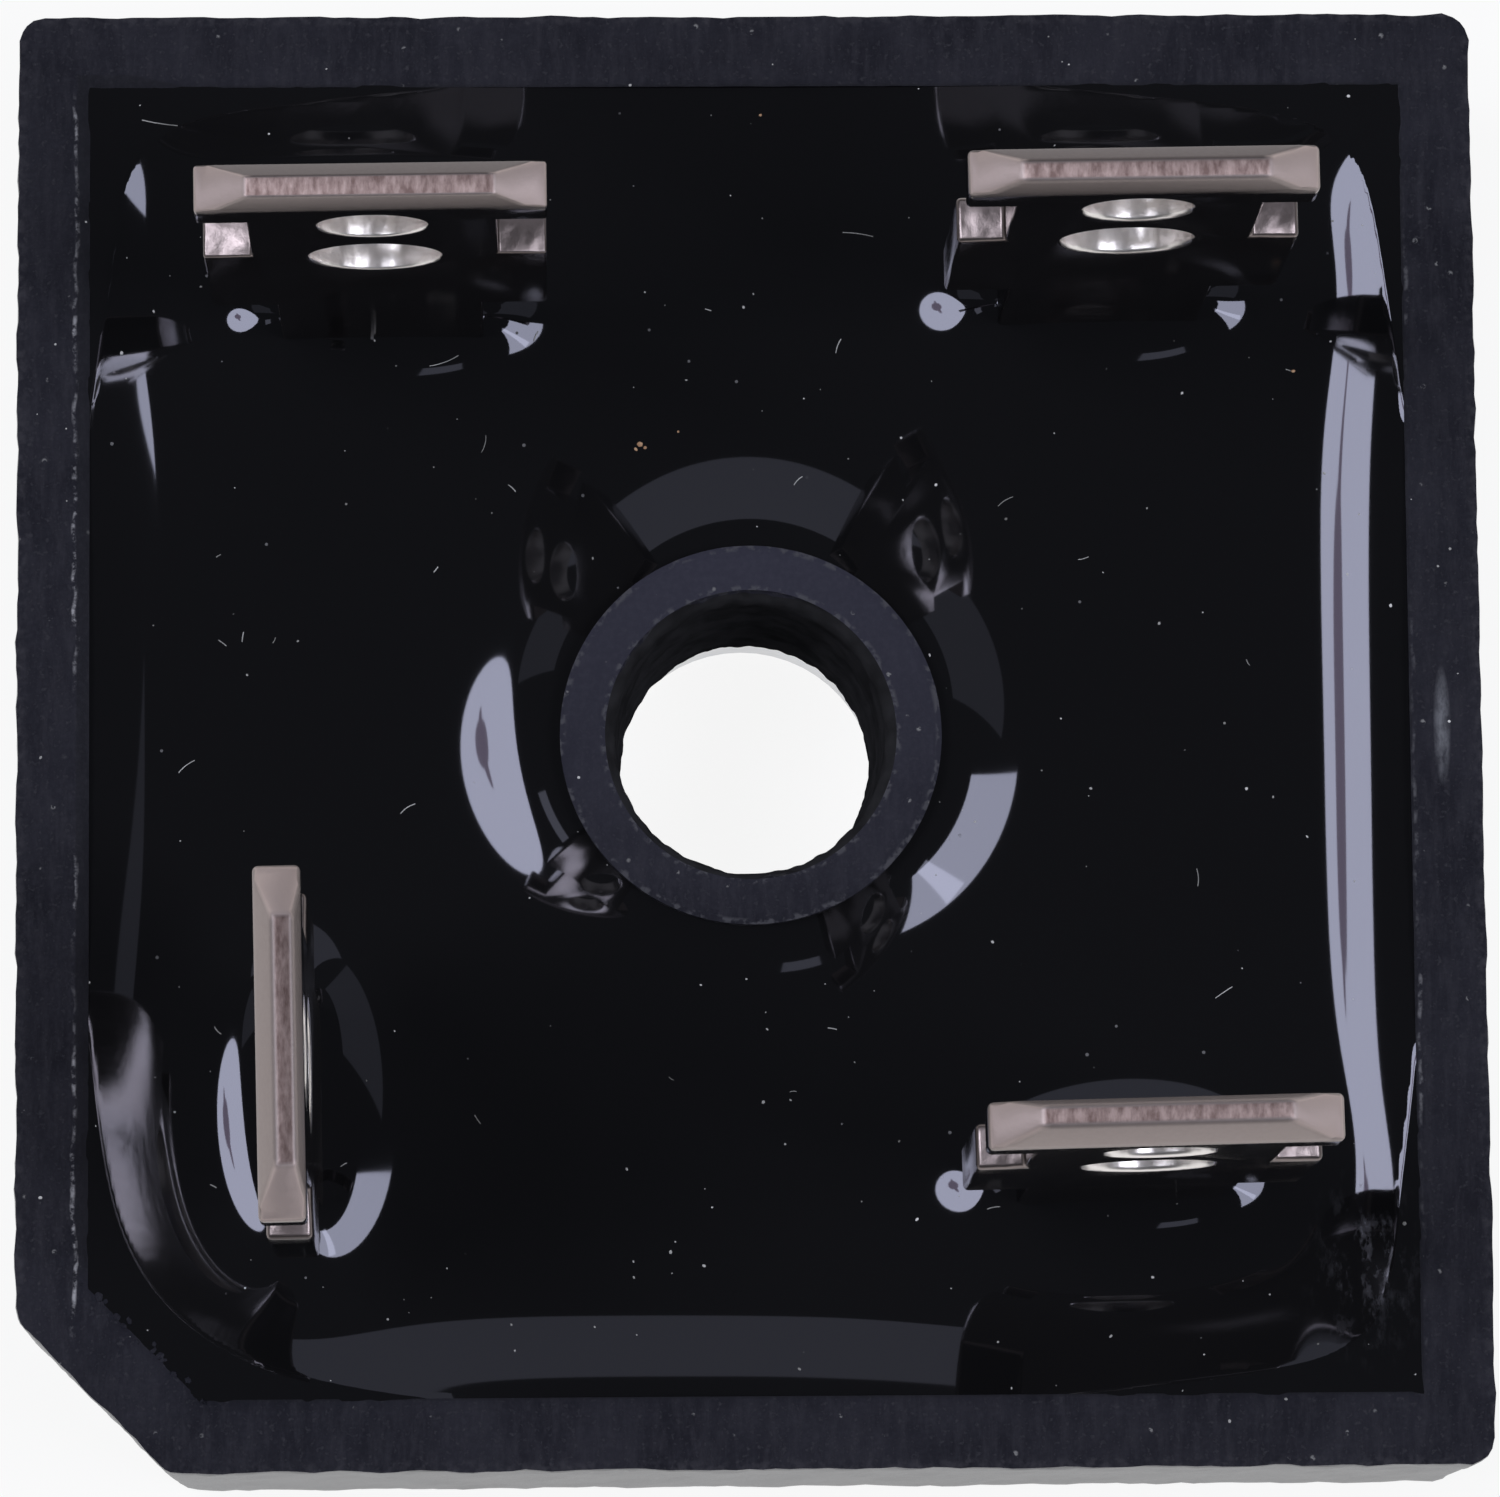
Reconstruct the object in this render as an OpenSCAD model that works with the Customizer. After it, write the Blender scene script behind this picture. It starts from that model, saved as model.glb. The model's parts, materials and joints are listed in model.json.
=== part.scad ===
// Single-phase bridge rectifier in a square potted case, with a screw hole through its middle.
// The origin is on the hole's axis at the underside of the base plate, and +Z points to the tabs.

/* [Case] */
// Side of the square case
case_side = 28.5; // [27:0.1:40]
// Height of the case, from the underside of the base plate to the rim
case_h = 7.8; // [7:0.1:16]
// Thickness of the case wall at the rim
wall_t = 1.45; // [1:0.05:2]
// Leg of the cut corner that marks the plus tab
cut_leg = 3; // [2:0.1:6]
// Radius on the upright edges of the case
corner_r = 0.6; // [0.2:0.1:1.2]

/* [Screw boss] */
// Outer diameter of the boss in the middle of the case
boss_d = 7.4; // [6.6:0.1:9]
// Diameter of the screw hole through the boss and the base plate
bore_d = 5.4; // [4:0.1:5.8]
// Thickness of the four low ribs that hold the boss to the walls
rib_t = 1.4; // [0.8:0.1:2]
// Height of those ribs above the insulator sheet
rib_h = 1.4; // [1:0.1:2]

/* [Base] */
// Thickness of the metal base plate
plate_t = 2; // [1:0.1:2.4]
// Width of the wall's foot beside the base plate
foot_t = 0.8; // [0.5:0.05:1]
// Glue gap between the base plate's edge and the wall's foot
plate_gap = 0.05; // [0.02:0.01:0.2]
// Thickness of the insulator sheet on the base plate
sheet_t = 0.3; // [0.2:0.05:0.6]
// Gap between the insulator sheet and the walls and boss
sheet_gap = 0.15; // [0.05:0.05:0.3]

/* [Circuit] */
// Thickness of the four copper pads
pad_t = 0.6; // [0.3:0.05:1]
// Gap between a pad and the walls, ribs and boss round it
pad_gap = 0.5; // [0.3:0.05:0.8]
// Side of a diode chip
die_side = 3.2; // [2.4:0.1:3.6]
// Thickness of a diode chip
die_t = 0.3; // [0.2:0.05:0.5]
// Thickness of a solder layer
solder_t = 0.1; // [0.05:0.01:0.2]
// How far a solder layer stops short of a chip's edge
solder_inset = 0.15; // [0.05:0.05:0.4]
// Width of a copper clip
clip_w = 2; // [1.4:0.1:2.6]
// Thickness of a copper clip
clip_t = 0.3; // [0.2:0.05:0.5]
// Length of each soldered end of a clip
clip_foot = 1.8; // [1.4:0.1:2.2]
// Clearance of a clip's bridge above the rib that it crosses
clip_clear = 0.3; // [0.2:0.05:0.6]

/* [Tabs] */
// Width of a tab
tab_w = 6.35; // [4.8:0.05:7]
// Thickness of a tab
tab_t = 0.85; // [0.8:0.05:1]
// Height of a tab's tip above the case rim
tab_rise = 13.2; // [8:0.1:18]
// Width of a tab's stem, which stands in the compound
stem_w = 3.9; // [3:0.1:5]
// Distance from the tip to the shoulders above the stem
stem_drop = 9.9; // [7.5:0.1:12]
// Distance from the cavity wall to a tab that is parallel to it
tab_inset = 4.3; // [4:0.1:5]
// Distance from the cavity wall beside a tab to the tab's middle
tab_offset = 5.8; // [4.4:0.1:6]
// Radius inside the bend at a tab's foot
tab_bend_r = 0.4; // [0.2:0.1:0.8]
// Length of a tab's soldered foot, from the tab's outer face
tab_foot = 2.4; // [1.4:0.1:2.8]

/* [Tab tip] */
// Width of the cut corners at a tab's tip
tip_cut_w = 0.95; // [0.4:0.05:1.2]
// Height of those cut corners
tip_cut_h = 0.85; // [0.4:0.05:1.2]
// Width of the bevel on a tip's outward face
bevel_out_w = 0.33; // [0.1:0.01:0.4]
// Height of that bevel
bevel_out_h = 0.6; // [0.2:0.05:1.2]
// Width of the bevel on a tip's inward face
bevel_in_w = 0.12; // [0.05:0.01:0.3]
// Height of that bevel
bevel_in_h = 0.5; // [0.2:0.05:1.2]
// Diameter of a tab's upper hole
hole_1_d = 2; // [1.2:0.05:2.2]
// Distance from the tip to the middle of the upper hole
hole_1_drop = 2.2; // [1.8:0.05:2.6]
// Diameter of a tab's lower hole
hole_2_d = 2.45; // [1.2:0.05:2.6]
// Distance from the tip to the middle of the lower hole
hole_2_drop = 5.15; // [4.8:0.05:7]
// Depth of the notch in each side of a tab
notch_w = 0.9; // [0.3:0.05:1]
// Distance from the tip to the top of the notches
notch_top = 1.75; // [1.3:0.05:2.5]
// Distance from the tip to the shoulders below the notches
notch_end = 5; // [3.5:0.1:7]

/* [Potting] */
// Depth of the potting compound's flat surface below the rim
pool_drop = 1.3; // [0.9:0.05:2]
// How far below the rim the compound stops on a wall
wall_climb_drop = 0.08; // [0.05:0.01:0.3]
// How far below the rim the compound stops on the boss
boss_climb_drop = 0.5; // [0.05:0.05:0.8]
// How far below the rim the compound stops on a tab
tab_climb_drop = 0.4; // [0.05:0.05:0.8]
// Reach of the compound's curve from a wall
wall_reach = 2.4; // [1:0.1:3]
// Reach of the compound's curve from the boss
boss_reach = 2.9; // [1:0.1:3]
// Reach of the compound's curve from a tab
tab_reach = 1.7; // [1:0.1:2.6]

/* [Hidden] */
$fn = 64;
eps = 0.01;
arc_steps = 6;
// Overlap of a cutting shape past what it cuts
margin = 1;
// How deep the compound's curves reach down into the pool, and back into the boss or a tab
sunk = 0.4;
climb_root = 0.2;

// Heights of the layers, from the bottom up
sheet_top = plate_t + sheet_t;
pad_top = sheet_top + pad_t;
pad_joint_top = pad_top + solder_t;
die_top = pad_joint_top + die_t;
die_joint_top = die_top + solder_t;
rib_top = sheet_top + rib_h;
bridge_z = max(rib_top + clip_clear, die_joint_top + clip_t);
pool_z = case_h - pool_drop;
tip_z = case_h + tab_rise;

// Outlines: half sides, and the cut corner's leg where an outline lies inside the case's own
half_side = case_side / 2;
cavity_half = half_side - wall_t;
function inner_leg(inset) = cut_leg - (2 - sqrt(2)) * inset;

// Where each tab stands: its place, then its turn. Each was set by hand a little off its true place.
tab_row = cavity_half - tab_inset;
tab_col = cavity_half - tab_offset;
OFF_PLUS = [-0.25, -0.15, 1];
OFF_MINUS = [-0.15, 0.05, 0.7];
OFF_AC_1 = [-0.1, -0.2, 0.6];
OFF_AC_2 = [0, -0.15, 1.2];
TAB_PLUS = [-tab_row, -tab_col, 90] + OFF_PLUS;
TAB_MINUS = [tab_col, tab_row, 0] + OFF_MINUS;
TAB_AC_1 = [-tab_col, tab_row, 0] + OFF_AC_1;
TAB_AC_2 = [tab_col, -tab_row, 180] + OFF_AC_2;

// Bare pad left beside a chip, beside a clip's end, and between the two chips on the plus pad
die_room = 0.5;
clip_room = 0.1;
die_pair_room = 0.8;
// How much farther from its pad's edge a chip on an alternating pad lies
die_shift = 1;

// Where each chip lies, which way its clip runs, and how far away the clip's other end lands
pad_edge = rib_t / 2 + pad_gap;
die_near = pad_edge + die_room + die_side / 2;
die_mid = die_near + die_shift;
die_side_way = boss_d / 2 + pad_gap + clip_room + die_side / 2;
landing = pad_edge + clip_room + clip_foot / 2;
DIE_1 = [-die_side_way, -die_near, 90];
DIE_2 = [-die_near, -die_near - die_side - die_pair_room, 0];
DIE_3 = [-die_mid, die_side_way, 0];
DIE_4 = [die_side_way, -die_mid, 90];
CLIP_NEAR = die_near + landing;
CLIP_MID = die_mid + landing;

function unit(v) = v / norm(v);

// Points of the arc that rounds corner b between its neighbours a and c
function corner_arc(a, b, c, r) =
    let (
        u = unit(a - b),
        v = unit(c - b),
        half = acos(u * v) / 2,
        centre = b + unit(u + v) * r / sin(half),
        start = b + u * r / tan(half) - centre,
        first = atan2(start.y, start.x),
        way = cross(u, v) < 0 ? 1 : -1
    )
    [for (i = [0:arc_steps]) let (t = first + way * (180 - 2 * half) * i / arc_steps)
        centre + r * [cos(t), sin(t)]];

// A polygon's points with every corner rounded
function rounded(points, r) =
    let (n = len(points))
    [for (i = [0:n - 1]) each corner_arc(points[(i + n - 1) % n], points[i], points[(i + 1) % n], r)];

// Corners of a square with its lower left corner cut
function cut_square(half, leg) = [
    [-half + leg, -half], [half, -half], [half, half], [-half, half], [-half, -half + leg]
];

// The case's outline, moved inward by an inset, with sharp or rounded corners
module outline(inset, r = 0) {
    points = cut_square(half_side - inset, inner_leg(inset));
    polygon(r > 0 ? rounded(points, r) : points);
}

// A bar that starts at z and is as high as h
module slab(z, h) {
    translate([0, 0, z]) linear_extrude(h) children();
}

// The four low ribs between the boss and the walls, which part the four bays
module rib_cross(top) {
    reach = cavity_half + eps;
    intersection() {
        slab(sheet_top, top - sheet_top) union() {
            square([2 * reach, rib_t], center = true);
            square([rib_t, 2 * reach], center = true);
        }
        slab(sheet_top, top - sheet_top) difference() {
            outline(wall_t - eps);
            circle(d = boss_d - 2 * eps);
        }
    }
}

// One moulding: four walls with a cut corner, the screw boss and the ribs that carry it
module housing() {
    color([0.13, 0.13, 0.15]) difference() {
        union() {
            difference() {
                slab(0, case_h) outline(0, corner_r);
                slab(-margin, plate_t + margin) outline(foot_t, corner_r / 2);
                slab(plate_t - eps, case_h) outline(wall_t);
            }
            slab(plate_t, case_h - plate_t) circle(d = boss_d);
            rib_cross(rib_top);
        }
        slab(-margin, case_h + 2 * margin) circle(d = bore_d);
    }
}

// Metal plate that closes the bottom of the case and takes the heat to the mounting surface
module base_plate() {
    color([0.72, 0.73, 0.75]) slab(0, plate_t) difference() {
        outline(foot_t + plate_gap, corner_r / 2);
        circle(d = bore_d);
    }
}

// Thin sheet that keeps the circuit off the base plate but lets its heat through
module insulator_sheet() {
    color([0.93, 0.92, 0.88]) slab(plate_t, sheet_t) difference() {
        outline(wall_t + sheet_gap);
        circle(d = boss_d + 2 * sheet_gap);
    }
}

// Copper pad that fills the bay on the side that way points to
module pad(way) {
    color([0.8, 0.48, 0.3]) slab(sheet_top, pad_t) difference() {
        intersection() {
            outline(wall_t + pad_gap);
            translate([
                way.x > 0 ? pad_edge : -half_side,
                way.y > 0 ? pad_edge : -half_side
            ]) square(half_side - pad_edge);
        }
        circle(d = boss_d + 2 * pad_gap);
    }
}

module pad_plus() pad([-1, -1]);
module pad_minus() pad([1, 1]);
module pad_ac_1() pad([-1, 1]);
module pad_ac_2() pad([1, -1]);

// Puts a piece at a chip's place, with +X along its clip
module at_place(place) {
    translate([place.x, place.y, 0]) rotate(place.z) children();
}

// Silicon diode chip
module die(place) {
    color([0.35, 0.36, 0.42]) at_place(place) slab(pad_joint_top, die_t)
        square(die_side, center = true);
}

module die_1() die(DIE_1);
module die_2() die(DIE_2);
module die_3() die(DIE_3);
module die_4() die(DIE_4);

// Solder under a chip, and the smaller layer between the chip and its clip
module die_solder(place) {
    color([0.75, 0.76, 0.78]) at_place(place) {
        slab(pad_top, solder_t) square(die_side - 2 * solder_inset, center = true);
        slab(die_top, solder_t) square([clip_foot, clip_w], center = true);
    }
}

module die_solder_1() die_solder(DIE_1);
module die_solder_2() die_solder(DIE_2);
module die_solder_3() die_solder(DIE_3);
module die_solder_4() die_solder(DIE_4);

// Copper strip that steps up from a chip, bridges the rib and steps down to the next pad
module clip(place, span) {
    near = clip_foot / 2;
    rise_1 = bridge_z - die_joint_top;
    rise_2 = bridge_z - pad_joint_top;
    under = [
        [-near, die_joint_top], [near, die_joint_top], [near + rise_1 / 2, bridge_z],
        [span - near - rise_2 / 2, bridge_z], [span - near, pad_joint_top], [span + near, pad_joint_top]
    ];
    over = [for (i = [len(under) - 1:-1:0]) under[i] + [0, clip_t]];
    color([0.82, 0.5, 0.32]) at_place(place)
        translate([0, clip_w / 2, 0]) rotate([90, 0, 0]) linear_extrude(clip_w)
            polygon(concat(under, over));
}

module clip_1() clip(DIE_1, CLIP_NEAR);
module clip_2() clip(DIE_2, CLIP_NEAR);
module clip_3() clip(DIE_3, CLIP_MID);
module clip_4() clip(DIE_4, CLIP_MID);

// Solder between a clip's far end and the pad
module clip_solder(place, span) {
    color([0.75, 0.76, 0.78]) at_place(place) translate([span, 0, 0]) slab(pad_top, solder_t)
        square([clip_foot, clip_w], center = true);
}

module clip_solder_1() clip_solder(DIE_1, CLIP_NEAR);
module clip_solder_2() clip_solder(DIE_2, CLIP_NEAR);
module clip_solder_3() clip_solder(DIE_3, CLIP_MID);
module clip_solder_4() clip_solder(DIE_4, CLIP_MID);

// Side view of a tab: y across its thickness, with the foot bent to +y, and z up
module tab_side() {
    face = tab_t / 2;
    bottom = pad_joint_top;
    toe = face + tab_foot;
    tip_out = [face, tip_z - bevel_out_h];
    tip_in = [-face, tip_z - bevel_in_h];
    polygon(concat(
        corner_arc(tip_in, [-face, bottom], [toe, bottom], tab_bend_r + tab_t),
        [[toe, bottom], [toe, bottom + tab_t]],
        corner_arc([toe, bottom + tab_t], [face, bottom + tab_t], tip_out, tab_bend_r),
        [tip_out, [face - bevel_out_w, tip_z], [-face + bevel_in_w, tip_z], tip_in]
    ));
}

// Front view of a tab: x across its width and z up, with cut corners, side notches, two holes and
// a narrow stem below the shoulders
module tab_front() {
    half = tab_w / 2;
    neck = half - notch_w;
    right = [
        [stem_w / 2, pad_top], [stem_w / 2, tip_z - stem_drop], [half, tip_z - stem_drop],
        [half, tip_z - notch_end], [neck, tip_z - notch_end],
        [neck, tip_z - notch_top], [half, tip_z - notch_top],
        [half, tip_z - tip_cut_h], [half - tip_cut_w, tip_z + eps]
    ];
    left = [for (i = [len(right) - 1:-1:0]) [-right[i].x, right[i].y]];
    difference() {
        polygon(concat(right, left));
        translate([0, tip_z - hole_1_drop]) circle(d = hole_1_d);
        translate([0, tip_z - hole_2_drop]) circle(d = hole_2_d);
    }
}

// Tinned tab, stamped from strip and bent at its foot
module terminal(place) {
    depth = tab_t + tab_foot + 2 * margin;
    color([0.7, 0.67, 0.65]) at_place(place) intersection() {
        rotate([90, 0, 90]) linear_extrude(tab_w + 2 * margin, center = true) tab_side();
        translate([0, depth - tab_t, 0]) rotate([90, 0, 0]) linear_extrude(depth) tab_front();
    }
}

module terminal_plus() terminal(TAB_PLUS);
module terminal_minus() terminal(TAB_MINUS);
module terminal_ac_1() terminal(TAB_AC_1);
module terminal_ac_2() terminal(TAB_AC_2);

// Solder under a tab's foot, from where the bend lifts off the pad to the foot's end
module terminal_solder(place) {
    heel = tab_t / 2 + tab_bend_r;
    color([0.75, 0.76, 0.78]) at_place(place) slab(pad_top, solder_t)
        translate([-stem_w / 2, heel]) square([stem_w, tab_foot + tab_t / 2 - heel]);
}

module terminal_solder_plus() terminal_solder(TAB_PLUS);
module terminal_solder_minus() terminal_solder(TAB_MINUS);
module terminal_solder_ac_1() terminal_solder(TAB_AC_1);
module terminal_solder_ac_2() terminal_solder(TAB_AC_2);

// Section of the curve with which the compound climbs: x runs out from what it climbs, z up from
// the pool. The root reaches back into what it climbs.
module climb_section(reach, drop, root) {
    climb = pool_drop - drop;
    curve_r = (reach * reach + climb * climb) / (2 * climb);
    difference() {
        translate([-root, -sunk]) square([reach + root, climb + sunk]);
        translate([reach, curve_r - eps]) circle(curve_r, $fn = 180);
    }
}

// The compound's curve along the cavity's five walls, which meet in creases at its corners
module climb_walls() {
    corners = cut_square(cavity_half, inner_leg(wall_t));
    for (i = [0:len(corners) - 1]) {
        wall = corners[(i + 1) % len(corners)] - corners[i];
        translate([corners[i].x, corners[i].y, pool_z]) rotate(atan2(wall.y, wall.x))
            rotate([90, 0, 90]) linear_extrude(norm(wall))
                climb_section(wall_reach, wall_climb_drop, eps);
    }
}

// The compound's curve round the boss
module climb_boss() {
    translate([0, 0, pool_z]) rotate_extrude() translate([boss_d / 2, 0])
        climb_section(boss_reach, boss_climb_drop, climb_root);
}

// The compound's curve round a tab's stem: straight along both faces and round at its edges
module climb_tab(place) {
    straight = stem_w - tab_t;
    translate([0, 0, pool_z]) at_place(place) {
        for (side = [-1, 1]) {
            translate([side * straight / 2, 0, 0]) rotate_extrude() translate([tab_t / 2, 0])
                climb_section(tab_reach, tab_climb_drop, climb_root);
            rotate(90 - 90 * side) translate([-straight / 2, 0, 0]) rotate([90, 0, 90])
                linear_extrude(straight) translate([tab_t / 2, 0])
                    climb_section(tab_reach, tab_climb_drop, climb_root);
        }
    }
}

// Everything that the compound is poured round
module potted_in() {
    slab(0, case_h + margin) circle(d = boss_d);
    rib_cross(rib_top);
    pad_plus();
    pad_minus();
    pad_ac_1();
    pad_ac_2();
    for (place = [DIE_1, DIE_2, DIE_3, DIE_4]) {
        die(place);
        die_solder(place);
    }
    clip_1();
    clip_2();
    clip_3();
    clip_4();
    clip_solder_1();
    clip_solder_2();
    clip_solder_3();
    clip_solder_4();
    for (place = [TAB_PLUS, TAB_MINUS, TAB_AC_1, TAB_AC_2]) {
        terminal(place);
        terminal_solder(place);
    }
}

// Black potting compound that fills the case and climbs the walls, the boss and the tabs
module potting_compound() {
    color([0.03, 0.03, 0.035]) difference() {
        intersection() {
            union() {
                slab(sheet_top, pool_z - sheet_top) outline(wall_t - margin);
                climb_walls();
                climb_boss();
                for (place = [TAB_PLUS, TAB_MINUS, TAB_AC_1, TAB_AC_2]) climb_tab(place);
            }
            slab(sheet_top, case_h) outline(wall_t);
        }
        potted_in();
    }
}

housing();
base_plate();
insulator_sheet();
potting_compound();
pad_plus();
pad_minus();
pad_ac_1();
pad_ac_2();
die_1();
die_2();
die_3();
die_4();
die_solder_1();
die_solder_2();
die_solder_3();
die_solder_4();
clip_1();
clip_2();
clip_3();
clip_4();
clip_solder_1();
clip_solder_2();
clip_solder_3();
clip_solder_4();
terminal_plus();
terminal_minus();
terminal_ac_1();
terminal_ac_2();
terminal_solder_plus();
terminal_solder_minus();
terminal_solder_ac_1();
terminal_solder_ac_2();
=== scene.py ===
import json
import math
import random

import bmesh
import bpy
import numpy as np
from mathutils import Matrix, Vector, noise


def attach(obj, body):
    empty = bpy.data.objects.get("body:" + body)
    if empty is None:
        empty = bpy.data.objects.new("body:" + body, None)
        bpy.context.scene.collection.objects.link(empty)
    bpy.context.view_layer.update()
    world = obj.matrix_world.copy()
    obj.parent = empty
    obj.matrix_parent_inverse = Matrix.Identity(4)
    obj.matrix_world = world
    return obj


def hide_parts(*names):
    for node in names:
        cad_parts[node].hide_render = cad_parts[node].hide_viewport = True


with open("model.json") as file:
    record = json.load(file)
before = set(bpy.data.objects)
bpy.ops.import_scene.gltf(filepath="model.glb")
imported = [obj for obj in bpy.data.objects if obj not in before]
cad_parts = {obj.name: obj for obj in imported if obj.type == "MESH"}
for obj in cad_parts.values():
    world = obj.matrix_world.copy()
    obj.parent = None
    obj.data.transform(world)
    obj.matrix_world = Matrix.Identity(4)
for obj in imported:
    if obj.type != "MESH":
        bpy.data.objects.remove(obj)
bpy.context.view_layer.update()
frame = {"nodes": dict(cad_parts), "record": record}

cad = frame["nodes"]
scene = bpy.context.scene
bpy.ops.object.select_all(action="DESELECT")

# Camera: it looks down on the tabs from 160 mm above the rim, through a long lens, from a little
# in front of the case and to its left.
camera_place = (-0.004234, -0.021327, 0.167962)
lean_forward, lean_aside, roll = (math.radians(angle) for angle in (-7.484, 1.507, 0.481))
camera_data = bpy.data.cameras.new("camera")
camera_data.lens = 200.3
camera_data.sensor_width = 36
camera_data.clip_start = 0.01
camera = bpy.data.objects.new("camera", camera_data)
scene.collection.objects.link(camera)
lean = Matrix.Rotation(lean_forward, 3, "X") @ Matrix.Rotation(lean_aside, 3, "Y")
lean = Matrix.Rotation(roll, 3, "Z") @ lean
camera.matrix_world = Matrix.Translation(camera_place) @ lean.transposed().to_4x4()
scene.camera = camera

# Room: two soft boxes stand left and right above the part, dim wide ones behind it, and two narrow
# slits to its left and in front. The room is dark above and pale near the horizon, and is white
# where the camera sees it bare.
scene.view_settings.view_transform = "Standard"
lamp_distance = 0.6
hub_distance = 0.55


def toward(azimuth, polar):
    """The turn that points the Z axis from the part up at a place in the room."""
    around = Matrix.Rotation(math.radians(azimuth), 3, "Z")
    return around @ Matrix.Rotation(math.radians(polar), 3, "Y")


def soft_box(name, shape, azimuth, polar, size, radiance, turn=0):
    """An area lamp that faces the part, as bright as its radiance over all of its surface."""
    lamp_data = bpy.data.lights.new(name, "AREA")
    lamp_data.shape = shape
    lamp_data.size = size[0]
    lamp_data.size_y = size[-1]
    area = size[0] * size[-1] * (math.pi / 4 if shape in ("DISK", "ELLIPSE") else 1)
    lamp_data.energy = radiance * math.pi * area
    lamp_data.color = (0.87, 0.89, 1)
    lamp = bpy.data.objects.new(name, lamp_data)
    scene.collection.objects.link(lamp)
    way = toward(azimuth, polar)
    stand = way @ Matrix.Rotation(math.radians(turn), 3, "Z")
    lamp.matrix_world = Matrix.Translation(way @ Vector((0, 0, lamp_distance))) @ stand.to_4x4()
    lamp.visible_camera = False


soft_box("soft_box_left", "ELLIPSE", 171.5, 26, (0.18, 0.255), 12.5, turn=6)
soft_box("soft_box_right", "RECTANGLE", -14.3, 31.4, (0.16, 0.225), 10)
soft_box("soft_box_right_tube", "RECTANGLE", -24, 32.5, (0.17, 0.03), 6, turn=-12)
soft_box("soft_box_back", "RECTANGLE", 90, 37, (0.22, 0.4), 0.72)
soft_box("soft_box_back_left", "RECTANGLE", 143, 41, (0.14, 0.12), 0.36)
soft_box("soft_box_back_right", "RECTANGLE", 32, 40, (0.2, 0.2), 0.38)
soft_box("slit_left", "RECTANGLE", -167, 39.5, (0.035, 0.13), 1.8)
soft_box("slit_front", "RECTANGLE", -72, 28.5, (0.035, 0.06), 1.2)

# A dim hub and its rod hang in front of the left soft box, and show only where something mirrors
# them.
hub_glow = bpy.data.materials.new("hub_glow")
hub_glow.use_nodes = True
tree = hub_glow.node_tree
glow = tree.nodes.new("ShaderNodeEmission")
glow.inputs["Color"].default_value = (0.95, 0.8, 1, 1)
glow.inputs["Strength"].default_value = 3.2
tree.links.new(glow.outputs[0], tree.nodes["Material Output"].inputs["Surface"])
for name, azimuth, width, length in (
    ("lamp_hub", 161.5, 0.032, 0.042), ("lamp_rod", 163, 0.012, 0.072),
):
    way = toward(azimuth, 24)
    bpy.ops.mesh.primitive_cylinder_add(vertices=32, radius=0.5, depth=0.2)
    gear = bpy.context.object
    gear.name = name
    hung = Matrix.Translation(way @ Vector((0, 0, hub_distance))) @ way.to_4x4()
    gear.matrix_world = hung @ Matrix.Diagonal((width, length, 0.04, 1))
    bpy.ops.object.transform_apply(location=True, rotation=True, scale=True)
    gear.visible_camera = False
    gear.visible_diffuse = False
    gear.visible_shadow = False
    gear.data.materials.append(hub_glow)


def reckon(tree, kind, first, second):
    """A math node of that kind, fed by sockets or by plain numbers."""
    node = tree.nodes.new("ShaderNodeMath")
    node.operation = kind
    for socket, value in zip(node.inputs, (first, second)):
        if isinstance(value, bpy.types.NodeSocket):
            tree.links.new(value, socket)
        else:
            socket.default_value = value
    return node.outputs[0]


def mix_shaders(tree, share, first, second):
    node = tree.nodes.new("ShaderNodeMixShader")
    for socket, value in zip(node.inputs, (share, first, second)):
        tree.links.new(value, socket)
    return node.outputs[0]


world = bpy.data.worlds.new("room")
scene.world = world
world.use_nodes = True
tree = world.node_tree
dim = tree.nodes["Background"]
dim.inputs["Color"].default_value = (0.9, 0.93, 1, 1)
dim.inputs["Strength"].default_value = 0.08
white = tree.nodes.new("ShaderNodeBackground")
ray = tree.nodes.new("ShaderNodeLightPath")
way = tree.nodes.new("ShaderNodeTexCoord")
split = tree.nodes.new("ShaderNodeSeparateXYZ")
horizon = tree.nodes.new("ShaderNodeMapRange")
horizon.inputs["From Min"].default_value = 0.3
horizon.inputs["From Max"].default_value = 0.1
tree.links.new(way.outputs["Generated"], split.inputs[0])
tree.links.new(split.outputs["Z"], horizon.inputs["Value"])
mirrored = reckon(tree, "MAXIMUM", ray.outputs["Is Glossy Ray"], ray.outputs["Is Transmission Ray"])
low = reckon(tree, "MULTIPLY", mirrored, horizon.outputs["Result"])
seen = reckon(tree, "MAXIMUM", ray.outputs["Is Camera Ray"], low)
sky = mix_shaders(tree, seen, dim.outputs[0], white.outputs[0])
tree.links.new(sky, tree.nodes["World Output"].inputs["Surface"])

# Table: a plain white sheet under the part. It keeps a soft shadow, and lets the underside be seen
# from below.
bpy.ops.mesh.primitive_plane_add(size=8, location=(0, 0, -0.00003))
table = bpy.context.object
table.name = "table"
sheet = bpy.data.materials.new("white_sheet")
sheet.use_nodes = True
tree = sheet.node_tree
paper = tree.nodes["Principled BSDF"]
paper.inputs["Base Color"].default_value = (0.85, 0.85, 0.86, 1)
paper.inputs["Roughness"].default_value = 0.9
paper.inputs["Specular IOR Level"].default_value = 0
glow = tree.nodes.new("ShaderNodeEmission")
ray = tree.nodes.new("ShaderNodeLightPath")
mirrored = reckon(tree, "MAXIMUM", ray.outputs["Is Glossy Ray"], ray.outputs["Is Transmission Ray"])
seen = reckon(tree, "MAXIMUM", ray.outputs["Is Camera Ray"], mirrored)
share = reckon(tree, "MULTIPLY", seen, 0.9)
above = mix_shaders(tree, share, paper.outputs[0], glow.outputs[0])
side = tree.nodes.new("ShaderNodeNewGeometry")
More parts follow.
